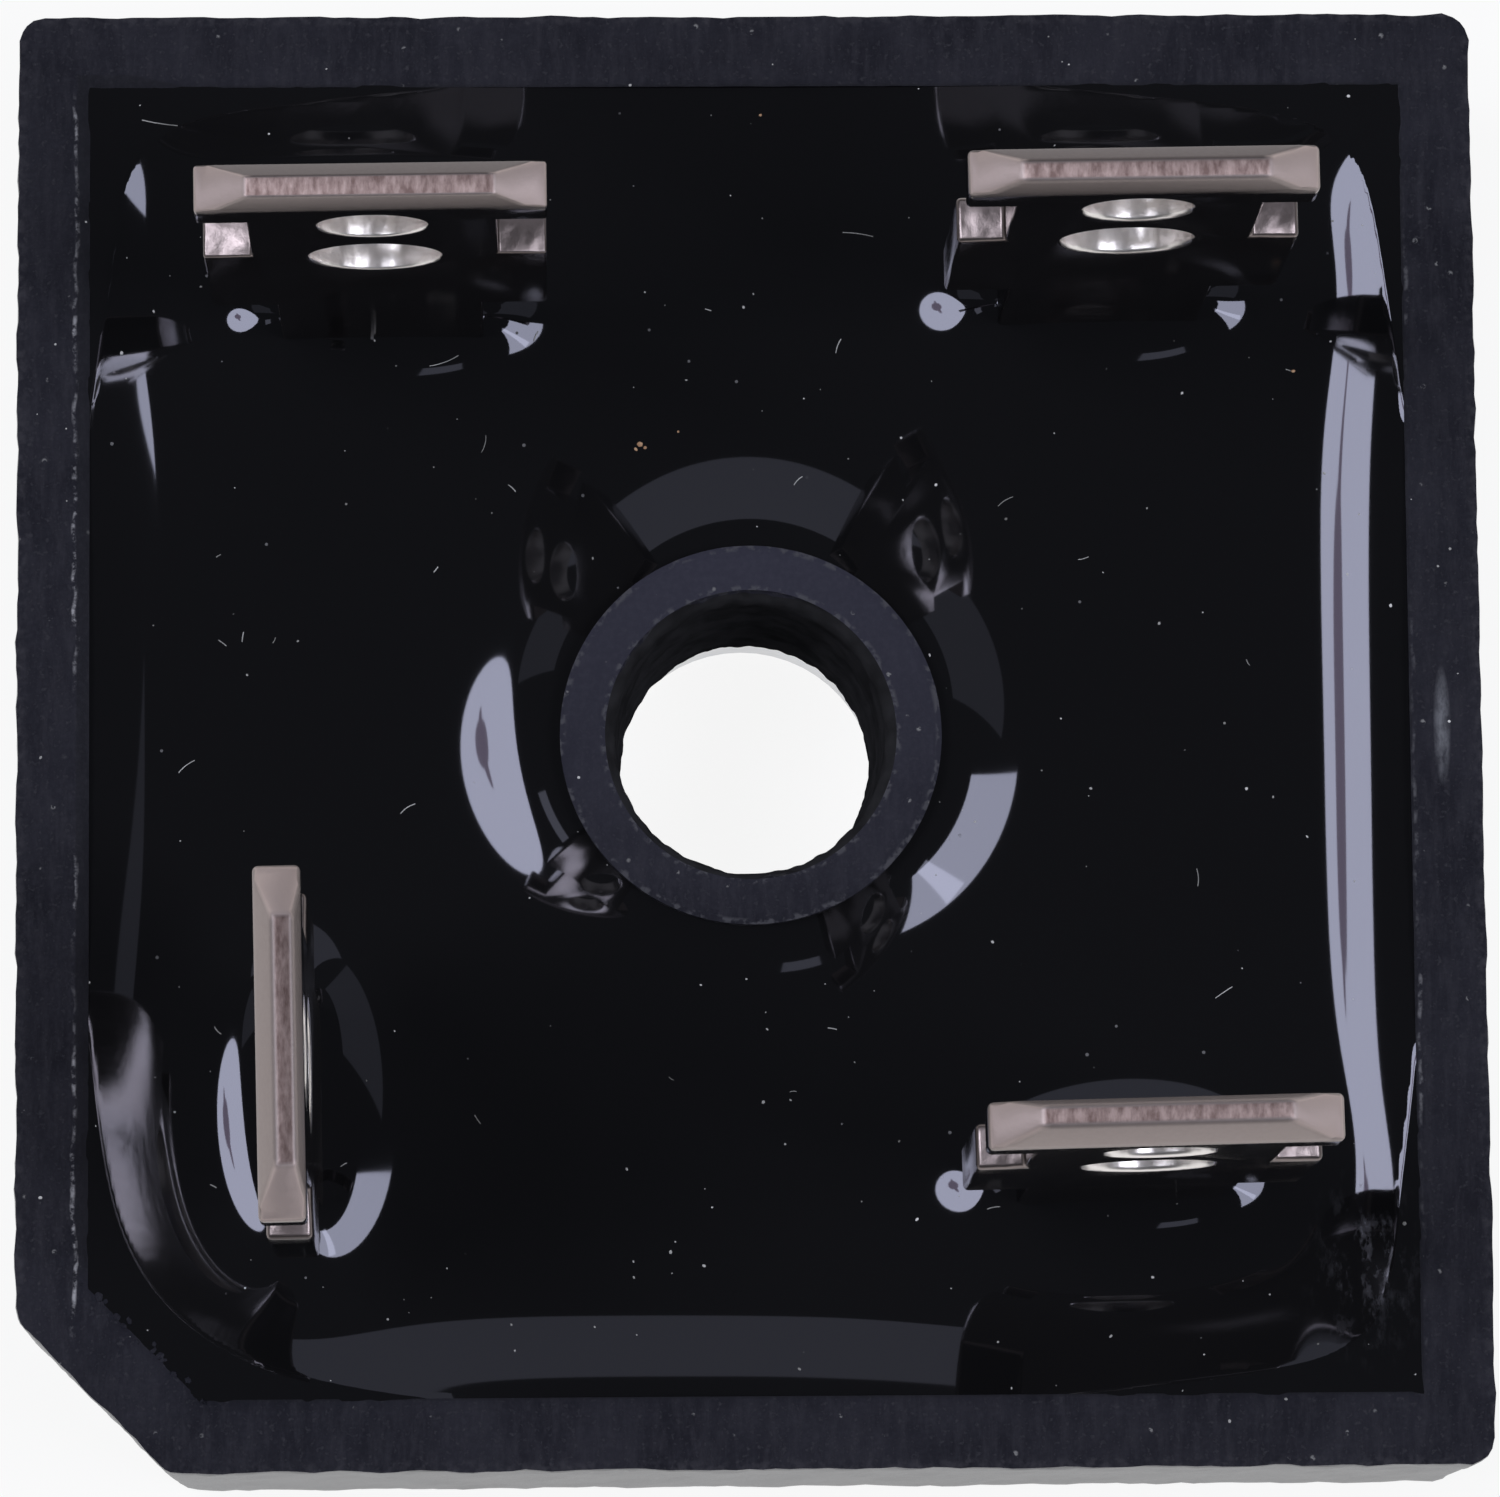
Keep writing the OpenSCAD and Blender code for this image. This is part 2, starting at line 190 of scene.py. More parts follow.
clear = tree.nodes.new("ShaderNodeBsdfTransparent")
both = mix_shaders(tree, side.outputs["Backfacing"], above, clear.outputs[0])
tree.links.new(both, tree.nodes["Material Output"].inputs["Surface"])
table.data.materials.append(sheet)

# Case: one moulding of black filled plastic, with four walls, a cut corner that marks the plus
# tab, and the screw boss. Its rim was rubbed flat along Y, and its outer edges are ragged.
MM = 0.001
half = 14.25 * MM
rim = 7.8 * MM
wall = 1.45 * MM
foot = 0.8 * MM
plate_top = 2 * MM
leg = 3 * MM
corner_radius = 0.6 * MM
touch = 0.01 * MM    # places closer than this count as one
wall_levels = (0.1, 0.5, 1.2, 2.8, 3.8, 4.8, 5.6, 6.3, 6.8, 7.15, 7.4, 7.55, 7.66, 7.74)


def start_edit():
    """Opens the active mesh for editing, with all of it selected."""
    bpy.ops.object.mode_set(mode="EDIT")
    bpy.ops.mesh.select_mode(type="FACE")
    bpy.ops.mesh.select_all(action="SELECT")


def pick(kind, test):
    """Selects the faces, edges or vertices whose middle passes a test, and nothing else."""
    bpy.ops.mesh.select_mode(type={"faces": "FACE", "edges": "EDGE", "verts": "VERT"}[kind])
    bpy.ops.mesh.select_all(action="DESELECT")
    mesh = bmesh.from_edit_mesh(bpy.context.object.data)
    for item in getattr(mesh, kind):
        if test(item):
            item.select_set(True)
    mesh.select_flush_mode()
    bmesh.update_edit_mesh(bpy.context.object.data)


def middle(edge):
    return (edge.verts[0].co + edge.verts[1].co) / 2


def use(piece, modifier, **settings):
    """Adds a modifier with these settings and applies it."""
    added = piece.modifiers.new(modifier.lower(), modifier)
    for key, value in settings.items():
        setattr(added, key, value)
    bpy.context.view_layer.objects.active = piece
    bpy.ops.object.modifier_apply(modifier=added.name)


def cut_across(levels):
    """Cuts the mesh in edit level at each of these heights in millimetres."""
    for level in levels:
        bpy.ops.mesh.select_all(action="SELECT")
        bpy.ops.mesh.bisect(plane_co=(0, 0, level * MM), plane_no=(0, 0, 1))


def inset_of(x, y):
    """How far a point lies inside the case's outline."""
    return min(half - abs(x), half - abs(y), (x + y + 2 * half - leg) / math.sqrt(2))


bpy.ops.mesh.primitive_plane_add(size=2 * half, location=(0, 0, plate_top))
case = bpy.context.object
case.name = "case_moulding"
start_edit()
bpy.ops.mesh.bisect(plane_co=(leg - half, -half, 0), plane_no=(-1, -1, 0), clear_outer=True)
bpy.ops.mesh.select_all(action="SELECT")
bpy.ops.mesh.inset(thickness=foot, use_even_offset=True)
bpy.ops.mesh.inset(thickness=wall - foot, use_even_offset=True)
bpy.ops.mesh.delete(type="FACE")

# Each side is cut into short lengths and levels, so that its faces and edges can be uneven.
near_cut = leg - 2 * half + 2.2 * wall
for count, test in (
    (30, lambda p: p.x + p.y < near_cut),
    (170, lambda p: p.x + p.y >= near_cut and (p.x < wall - half or p.y < wall - half)),
    (190, lambda p: p.x > half - wall or p.y > half - wall),
):
    pick("edges", lambda e: e.calc_length() > 2 * wall and test(middle(e)))
    bpy.ops.mesh.subdivide(number_cuts=count)
pick("edges", lambda e: e.calc_length() > 0.5 * MM)
bpy.ops.mesh.subdivide(number_cuts=3)
bpy.ops.mesh.select_mode(type="FACE")
bpy.ops.mesh.select_all(action="SELECT")
bpy.ops.mesh.extrude_region_move(TRANSFORM_OT_translate={"value": (0, 0, rim - plate_top)})
bpy.ops.mesh.select_all(action="SELECT")
bpy.ops.mesh.normals_make_consistent(inside=False)
pick("faces", lambda f: f.normal.z < -0.9 and inset_of(*f.calc_center_median()[:2]) < foot)
bpy.ops.mesh.extrude_region_move(TRANSFORM_OT_translate={"value": (0, 0, -plate_top)})
cut_across(wall_levels)
bpy.ops.object.mode_set(mode="OBJECT")

# The boss is part of the same moulding: a tube with a ragged edge where its hole breaks through.
boss_radius = 3.7 * MM
bore_radius = 2.7 * MM
boss_levels = (2.6, 3.2, 3.8, 4.4, 5, 5.6, 6.1, 6.5, 6.9, 7.2, 7.4, 7.55, 7.66, 7.74)
rings = 8
bpy.ops.object.select_all(action="DESELECT")
bpy.ops.mesh.primitive_circle_add(vertices=256, radius=bore_radius, location=(0, 0, rim))
boss = bpy.context.object
bpy.ops.object.mode_set(mode="EDIT")
bpy.ops.mesh.select_mode(type="EDGE")
bpy.ops.mesh.select_all(action="SELECT")
ring_width = (boss_radius - bore_radius) / rings
for ring in range(rings):
    grow = 1 + ring_width / (bore_radius + ring * ring_width)
    bpy.ops.mesh.extrude_edges_move()
    bpy.ops.transform.resize(value=(grow, grow, 1), center_override=(0, 0, rim))
bpy.ops.mesh.select_mode(type="FACE")
bpy.ops.mesh.select_all(action="SELECT")
bpy.ops.mesh.extrude_region_move(TRANSFORM_OT_translate={"value": (0, 0, plate_top - rim)})
bpy.ops.mesh.select_all(action="SELECT")
bpy.ops.mesh.normals_make_consistent(inside=False)
cut_across(boss_levels)
bpy.ops.object.mode_set(mode="OBJECT")

# Four low ribs under the compound hold the boss to the walls.
rib_size = Vector((9.4, 1.4, 1.4))
rib_middle = Vector((8.2, 0, 3))
moulding = [case, boss]
for turn in range(4):
    way = Matrix.Rotation(turn * math.pi / 2, 3, "Z")
    bpy.ops.mesh.primitive_cube_add(size=1, location=way @ rib_middle * MM)
    rib = bpy.context.object
    rib.scale = [abs(v) for v in way @ rib_size * MM]
    bpy.ops.object.transform_apply(location=True, rotation=True, scale=True)
    use(rib, "BEVEL", width=0.15 * MM, segments=2)
    moulding.append(rib)
bpy.ops.object.select_all(action="DESELECT")
for each in moulding:
    each.select_set(True)
bpy.context.view_layer.objects.active = case
bpy.ops.object.join()
bpy.ops.object.transform_apply(location=True, rotation=True, scale=True)

# Its upright outer edges are rounded, and its outer faces and the edges of its rim and hole are
# uneven.
skin_depth = 0.4 * MM
edge_ease = 0.03 * MM
flash_depth = 0.5 * MM
bore_taper = 0.085
cut_centre = half - leg - corner_radius * (math.sqrt(2) - 1)
corners = (
    (half - corner_radius, half - corner_radius, 0, 90),
    (corner_radius - half, half - corner_radius, 90, 180),
    (corner_radius - half, -cut_centre, 180, 225),
    (-cut_centre, corner_radius - half, 225, 270),
    (half - corner_radius, corner_radius - half, 270, 360),
)


def ragged(point, size, seed):
    """Uneven lumps of about that size, from 0 to 1."""
    at = Vector(point) / size + Vector((seed, 0, 0))
    return max(0, min(1, 0.5 + 0.9 * noise.noise(at) + 0.4 * noise.noise(at * 2.3)))


def inward(x, y):
    """The way into the case from its nearest side."""
    slope = math.sqrt(0.5)
    return Vector(min(
        (half - x, (-1, 0)), (half + x, (1, 0)), (half - y, (0, -1)), (half + y, (0, 1)),
        ((x + y + 2 * half - leg) / math.sqrt(2), (slope, slope)),
    )[1])


for vert in case.data.vertices:
    x, y, z = vert.co
    depth = inset_of(x, y)
    away = math.hypot(x, y)
    at_rim = z > rim - touch
    if depth < wall + touch:
        way = inward(x, y)
        for cx, cy, first, last in corners:
            spoke = Vector((x - cx, y - cy))
            angle = math.degrees(math.atan2(spoke.y, spoke.x)) % 360
            if depth < corner_radius and first <= angle <= last:
                way = -spoke.normalized()
                x, y = Vector((cx, cy)) - way * (corner_radius - depth)
        if depth < skin_depth:
            pull = 0.04 * ragged((x, y, z * 0.2), 0.9 * MM, 3)
            pull += 0.035 * ragged((x, y, z * 0.4), 0.3 * MM, 9)
            pull += 0.02 * math.exp(-min(rim - z, z) / (0.1 * MM))
            pull *= (1 - depth / skin_depth) * MM
            x += way.x * pull
            y += way.y * pull
            if depth < 2 * touch and (at_rim or z < touch):
                z += math.copysign(edge_ease, rim / 2 - z)
        if wall - depth < 2 * touch and at_rim:
            z -= (0.03 + 0.05 * ragged((x, y, 0), 0.35 * MM, 21)) * MM
    elif away < boss_radius + 2 * touch and z > plate_top + touch:
        if away < bore_radius + touch:
            top = max(0, 1 - (rim - z) / flash_depth)
            rough = 0.05 * ragged((x, y, z), 0.35 * MM, 55)
            rough += 0.08 * top * ragged((x, y, 0), 0.5 * MM, 60)
            flash = 0.14 + 0.15 * abs(x) / bore_radius + 0.3 * ragged((x, y, 0), 0.9 * MM, 70)
            narrower = bore_taper * (rim - z) / (rim - plate_top)
            shift = 1 + (flash * top - rough) * MM / away - narrower
            x, y = x * shift, y * shift
            if at_rim:
                z -= (0.03 + 0.07 * ragged((x, y, 0), 0.3 * MM, 40)) * MM
        elif away > boss_radius - touch and at_rim:
            z -= (0.03 + 0.02 * ragged((x, y, 0), 0.3 * MM, 41)) * MM
    vert.co = (x, y, z)
bpy.ops.object.shade_smooth_by_angle(angle=math.radians(35))

plastic = bpy.data.materials.new("case_black")
plastic.use_nodes = True


class Graph:
    """Short calls that add and join the nodes of one material."""

    def __init__(self, material):
        self.tree = material.node_tree
        self.shader = self.tree.nodes["Principled BSDF"]
        self.place = self.tree.nodes.new("ShaderNodeTexCoord").outputs["Object"]

    def feed(self, socket, value):
        if isinstance(value, bpy.types.NodeSocket):
            self.tree.links.new(value, socket)
        elif value is not None:
            socket.default_value = value

    def scaled(self, x, y, z, turn=0, move=(0, 0, 0)):
        node = self.tree.nodes.new("ShaderNodeMapping")
        node.inputs["Scale"].default_value = (x, y, z)
        node.inputs["Rotation"].default_value = (0, 0, math.radians(turn))
        node.inputs["Location"].default_value = move
        self.feed(node.inputs["Vector"], self.place)
        return node.outputs[0]

    def lumps(self, where, scale, detail=2.0, rough=0.5):
        node = self.tree.nodes.new("ShaderNodeTexNoise")
        self.feed(node.inputs["Vector"], where)
        node.inputs["Scale"].default_value = scale
        node.inputs["Detail"].default_value = detail
        node.inputs["Roughness"].default_value = rough
        return node.outputs["Fac"]

    def cells(self, where, scale):
        node = self.tree.nodes.new("ShaderNodeTexVoronoi")
        self.feed(node.inputs["Vector"], where)
        node.inputs["Scale"].default_value = scale
        return node.outputs["Distance"]

    def math(self, kind, first, second=None, third=None):
        node = self.tree.nodes.new("ShaderNodeMath")
        node.operation = kind
        for socket, value in zip(node.inputs, (first, second, third)):
            self.feed(socket, value)
        return node.outputs[0]

    def times(self, *values):
        product = values[0]
        for value in values[1:]:
            product = self.math("MULTIPLY", product, value)
        return product

    def plus(self, first, second):
        return self.math("ADD", first, second)

    def minus(self, first, second):
        return self.math("SUBTRACT", first, second)

    def size(self, value):
        return self.math("ABSOLUTE", value)

    def ramp(self, value, low, high, to_low=0.0, to_high=1.0):
        node = self.tree.nodes.new("ShaderNodeMapRange")
        for name, given in (("Value", value), ("From Min", low), ("From Max", high),
                            ("To Min", to_low), ("To Max", to_high)):
            self.feed(node.inputs[name], given)
        return node.outputs["Result"]

    def blend(self, share, first, second):
        node = self.tree.nodes.new("ShaderNodeMix")
        node.data_type = "RGBA"
        self.feed(node.inputs["Factor"], share)
        self.feed(node.inputs[6], first)
        self.feed(node.inputs[7], second)
        return node.outputs[2]

    def axis(self, vector, name):
        node = self.tree.nodes.new("ShaderNodeSeparateXYZ")
        self.feed(node.inputs[0], vector)
        return node.outputs[name]

    def along(self, name):
        return self.axis(self.place, name)

    def facing(self, name):
        return self.axis(self.tree.nodes.new("ShaderNodeNewGeometry").outputs["Normal"], name)

    def off(self, name, middle, reach):
        """How far a point lies from a middle along an axis, with 1 at the reach."""
        return self.times(self.minus(self.along(name), middle), 1 / reach)

    def oval(self, middle, reach):
        """0 in the middle of an oval patch of that reach, and 1 on its edge."""
        squares = [self.math("POWER", self.off(*each), 2.0) for each in zip("XY", middle, reach)]
        return self.plus(*squares)

    def bump(self, height, distance, strength=1.0):
        node = self.tree.nodes.new("ShaderNodeBump")
        node.inputs["Strength"].default_value = strength
        node.inputs["Distance"].default_value = distance
        self.feed(node.inputs["Height"], height)
        self.feed(self.shader.inputs["Normal"], node.outputs[0])

    def set(self, **values):
        """Feeds the shader's own sockets, whose names are written with _ for each space."""
        for name, value in values.items():
            self.feed(self.shader.inputs[name.replace("_", " ")], value)


g = Graph(plastic)
black, rubbed_black = (0.001, 0.001, 0.004, 1), (0.009, 0.009, 0.014, 1)
streak_grey, grain_grey = (0.018, 0.0175, 0.023, 1), (0.034, 0.034, 0.04, 1)
worn_grey, boss_grey = (0.05, 0.048, 0.055, 1), (0.026, 0.026, 0.04, 1)
fleck_grey, speck_grey = (0.07, 0.07, 0.078, 1), (0.2, 0.2, 0.2, 1)
# The first colour on the next line is painted highlight for the rim's inner edge.
edge_glint_white, lip_black = (0.4, 0.4, 0.42, 1), (0.003, 0.003, 0.004, 1)
mark_grey = (0.15, 0.155, 0.17, 1)
grain = g.lumps(g.place, 9000, 5, 0.6)
blotch = g.lumps(g.place, 700, 3)
streaks = g.lumps(g.scaled(4500, 900, 1), 1, 5, 0.7)
up = g.ramp(g.facing("Z"), 0.8, 0.95)
far_x, far_y = g.size(g.along("X")), g.size(g.along("Y"))
furthest = g.math("MAXIMUM", far_x, far_y)

# Its colour: black, with streaks and grains on the faces that point up, and pale worn outer edges.
border = g.ramp(furthest, 13.95 * MM, 14.2 * MM)
worn = g.times(border, g.ramp(g.lumps(g.place, 5000, 3), 0.45, 0.65))
specks = g.times(g.ramp(g.cells(g.place, 1600), 0.1, 0.05), g.ramp(grain, 0.5, 0.55))
base = g.blend(g.ramp(blotch, 0.35, 0.65), black, rubbed_black)
base = g.blend(g.times(up, g.ramp(streaks, 0.45, 0.75)), base, streak_grey)
base = g.blend(g.times(up, g.ramp(grain, 0.56, 0.74)), base, grain_grey)
base = g.blend(g.times(worn, 0.6), base, worn_grey)

# The boss is paler at its far side, and both its edges are flecked.
from_axis = g.math("SQRT", g.plus(g.math("POWER", far_x, 2.0), g.math("POWER", far_y, 2.0)))
on_boss = g.ramp(from_axis, 4.6 * MM, 4 * MM)
outer_edge, inner_edge = (g.size(g.minus(from_axis, edge * MM)) for edge in (3.66, 2.85))
boss_edge = g.ramp(g.math("MINIMUM", outer_edge, inner_edge), 0.09 * MM, 0.03 * MM)
flecks = g.times(boss_edge, g.ramp(g.lumps(g.place, 5500, 3), 0.5, 0.6))
north = g.ramp(g.along("Y"), -4 * MM, 3.5 * MM)
base = g.blend(g.times(on_boss, north), base, boss_grey)
base = g.blend(g.times(flecks, 0.8), base, fleck_grey)
base = g.blend(specks, base, speck_grey)

# A broken white line of painted highlight runs along the rim's inner edge: glints painted into the
# colour, strongest on the left side.
lip_line = g.ramp(g.along("X"), -12 * MM, -11 * MM, 13.07 * MM, 12.86 * MM)
from_line = g.minus(furthest, lip_line)
wobble = g.ramp(g.lumps(g.place, 1500, 2), 0.3, 0.7, -0.05 * MM, 0.05 * MM)
to_left = g.ramp(g.along("X"), -11 * MM, -12 * MM)
upper_left = g.times(to_left, g.ramp(g.along("Y"), 1 * MM, 9 * MM, 0.04, 0.2))
lip_lumps = g.plus(g.lumps(g.scaled(1, 1, 1, move=(0.02, 0.01, 0)), 330, 2), upper_left)
painted_edge_glint = g.times(
    g.ramp(g.lumps(g.place, 4200, 5, 0.7), 0.46, 0.62),
    g.ramp(lip_lumps, 0.45, 0.7),
    g.ramp(g.size(g.plus(from_line, wobble)), 0.05 * MM, 0.015 * MM),
    g.ramp(g.minus(far_x, far_y), 0.4 * MM, 1.2 * MM),
    g.ramp(g.along("X"), -12 * MM, 12 * MM, 1.0, 0.3),
    up,
)
# Paints the highlight along the rim's inner edge into the colour.
base = g.blend(painted_edge_glint, base, edge_glint_white)

# The lip beside that line is dark, except along the cut corner.
off_cut = g.ramp(g.plus(g.along("X"), g.along("Y")), -23.4 * MM, -22.9 * MM)
inner_lip = g.times(g.ramp(from_line, 0.0, -0.04 * MM), g.minus(1.0, on_boss), off_cut)
base = g.blend(g.times(inner_lip, up, 0.6), base, lip_black)

# A short pale rub mark lies on the rim to the right.
near_mark = g.ramp(g.oval((13.42 * MM, 0.1 * MM), (0.14 * MM, 0.95 * MM)), 1.6, 0.1)
mark_grain = g.ramp(g.lumps(g.scaled(6000, 2500, 1), 1, 4, 0.65), 0.35, 0.6, 0.2, 1.0)
base = g.blend(g.times(near_mark, mark_grain, up), base, mark_grey)

# The outer walls keep the mould's gloss, and the rim and the boss are dull.
moulded = g.times(g.minus(1.0, up), g.minus(1.0, on_boss))
dullness = g.ramp(grain, 0.3, 0.7, 0.65, 0.85)
g.set(Base_Color=base, Roughness=g.ramp(moulded, 0.0, 1.0, dullness, 0.32))
g.set(Specular_IOR_Level=0.36, Specular_Tint=(0.84, 0.85, 1, 1))
g.bump(g.plus(grain, g.times(streaks, 0.5)), 0.014 * MM, 0.7)
dull = bpy.data.materials.new("bore_black")
dull.use_nodes = True
g = Graph(dull)
patches = g.ramp(g.lumps(g.place, 1500, 4), 0.35, 0.65)
g.set(Base_Color=g.blend(patches, (0.03, 0.03, 0.032, 1), (0.05, 0.05, 0.054, 1)))
g.set(Roughness=0.9, Specular_IOR_Level=0.0)
g.bump(g.lumps(g.scaled(3000, 3000, 400), 1, 4), 0.01 * MM, 0.6)
case.data.materials.clear()
case.data.materials.append(plastic)
case.data.materials.append(dull)
for face in case.data.polygons:
    x, y, z = face.center
    in_bore = math.hypot(x, y) < bore_radius + 0.5 * MM and z < rim - 0.3 * MM
    face.material_index = 1 if in_bore else 0
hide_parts("housing")
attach(case, "root")

# Potting compound: black epoxy poured round the circuit. It is level in the open, and its glossy
# skin climbs the walls, the boss and the stems of the tabs.
pool = 6.5 * MM
inner = half - wall
plus_turn = 91
tab_places = (    # middle of the stem in millimetres, and its turn in degrees
    (-8.75, -7.15, plus_turn), (6.85, 8.55, 0.7), (-7.1, 8.3, 0.6), (7.0, -8.65, 181.2),
)
stem_half = 1.95
stem_side = 0.425
cells_across = 300
halvings = 24
compound_floor = 2.35 * MM
into_wall, into_boss = 0.12, 0.2    # it is let into the moulding by this many millimetres
bpy.ops.object.select_all(action="DESELECT")
bpy.ops.mesh.primitive_grid_add(
    x_subdivisions=cells_across, y_subdivisions=cells_across,
    size=2 * inner + 0.1 * MM, location=(0, 0, pool),
)
compound = bpy.context.object
compound.name = "potting"
bpy.ops.object.transform_apply(location=True, rotation=True, scale=True)
flat = np.empty(len(compound.data.vertices) * 3)
compound.data.vertices.foreach_get("co", flat)
flat = flat.reshape(-1, 3)
x, y = flat[:, 0] / MM, flat[:, 1] / MM
edge = inner / MM
cut_shift = 0.5858
inner_cut = leg / MM - cut_shift * wall / MM
to_walls = [edge - x, edge + x, edge - y, edge + y, (x + y + 2 * edge - inner_cut) / math.sqrt(2)]
dish, wall_climb, wall_reach = 0.003, 0.6, 1.6
boss_climb, boss_reach = 0.97, 1.83
plus_climb, tab_climb, tab_reach = 0.82, 0.72, 1.33
highest = 7.74
climbs = [np.tanh(np.maximum(distance, -into_wall) / wall_reach) for distance in to_walls]
clear_of_walls = np.prod(climbs, axis=0)
rise = dish * (x ** 2 + y ** 2) + wall_climb * (1 - clear_of_walls)
near_boss = np.maximum(np.hypot(x, y) - boss_radius / MM, -into_boss)
rise += boss_climb * np.exp(-near_boss / boss_reach)

# Round a tab it climbs by the same curve everywhere, so the distance to the stem is found first: it
# is how much an oval as big as the stem has to grow to reach the point.
for tx, ty, turn in tab_places:
    c, s = math.cos(math.radians(turn)), math.sin(math.radians(turn))
    along, across = (x - tx) * c + (y - ty) * s, (y - ty) * c - (x - tx) * s
    nearest, furthest = np.zeros_like(x), np.full_like(x, 40.0)
    for _ in range(halvings):
        grown = (nearest + furthest) / 2
        beyond = (along / (stem_half + grown)) ** 2 + (across / (stem_side + grown)) ** 2 > 1
        nearest, furthest = np.where(beyond, grown, nearest), np.where(beyond, furthest, grown)
    rise += (plus_climb if turn == plus_turn else tab_climb) * np.exp(-nearest / tab_reach)
flat[:, 2] = np.minimum(pool / MM + rise, highest) * MM
compound.data.vertices.foreach_set("co", flat.ravel())
start_edit()
pick("verts", lambda v: math.hypot(v.co.x, v.co.y) < boss_radius - into_boss * MM
     or inset_of(v.co.x, v.co.y) < wall - into_wall * MM)
bpy.ops.mesh.delete(type="VERT")
bpy.ops.mesh.select_mode(type="EDGE")
bpy.ops.mesh.select_all(action="DESELECT")
bpy.ops.mesh.select_non_manifold(extend=False)
bpy.ops.mesh.extrude_edges_move()
bpy.ops.transform.resize(value=(1, 1, 0), center_override=(0, 0, compound_floor))
bpy.ops.mesh.fill()
bpy.ops.mesh.select_mode(type="FACE")
bpy.ops.mesh.select_all(action="SELECT")
bpy.ops.mesh.normals_make_consistent(inside=False)
bpy.ops.object.mode_set(mode="OBJECT")
bpy.ops.object.shade_smooth_by_angle(angle=math.radians(50))

epoxy = bpy.data.materials.new("epoxy_black")
epoxy.use_nodes = True
g = Graph(epoxy)
skin, smeared, dusty = (0.0055, 0.0055, 0.006, 1), (0.035, 0.035, 0.04, 1), (0.12, 0.12, 0.12, 1)
dust = g.math("LESS_THAN", g.cells(g.place, 1300), 0.045)
kept = g.times(dust, g.ramp(g.lumps(g.place, 300, 2), 0.5, 0.56))
from_smear = g.oval((11.8 * MM, -10.4 * MM), (1.1 * MM, 1.7 * MM))
patchy = g.ramp(g.lumps(g.scaled(3600, 1500, 1), 1, 5, 0.7), 0.5, 0.8)
smear = g.times(g.ramp(from_smear, 1.5, 0.2), patchy)
g.set(Base_Color=g.blend(kept, g.blend(smear, skin, smeared), dusty))
g.set(Roughness=g.math("MAXIMUM", g.ramp(kept, 0, 1, 0.035, 0.6), g.ramp(smear, 0, 1, 0, 0.5)))
g.set(IOR=1.5, Specular_IOR_Level=0.41, Specular_Tint=(0.84, 0.85, 1, 1))
g.bump(g.lumps(g.place, 260, 1), 0.01 * MM, 0.15)
compound.data.materials.append(epoxy)
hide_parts("potting_compound")
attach(compound, "root")

# Tabs: stamped from tinned copper strip. The punch left them bright and smooth on one edge and torn
# on the other, and rounded every edge a little. The cut corners of their tips start a little higher
# than on the CAD's tabs.
tip_z = 21 * MM
cut_low, cut_high = 20.1 * MM, 20.2 * MM
cut_lift = 0.22 * MM
tab_names = ("plus", "minus", "ac_1", "ac_2")
torn_shade = {"plus": 0.6, "minus": 1.2, "ac_1": 1.2, "ac_2": 1}


def copy_of(node, name):
    """A copy of a CAD node's mesh as a new piece, merged, with its flat faces whole again."""
    piece = bpy.data.objects.new(name, cad[node].data.copy())
    scene.collection.objects.link(piece)
    bpy.ops.object.select_all(action="DESELECT")
    piece.select_set(True)
    bpy.context.view_layer.objects.active = piece
    start_edit()
    bpy.ops.mesh.remove_doubles(threshold=0.0005 * MM)
    bpy.ops.mesh.dissolve_limited(angle_limit=math.radians(1))
    return piece


def ease_edges(piece, width):
    """Rounds every sharp edge by that width."""
    bpy.ops.object.mode_set(mode="OBJECT")
    use(piece, "BEVEL", width=width, segments=3, limit_method="ANGLE", angle_limit=math.radians(28))
    bpy.ops.object.shade_smooth_by_angle(angle=math.radians(35))


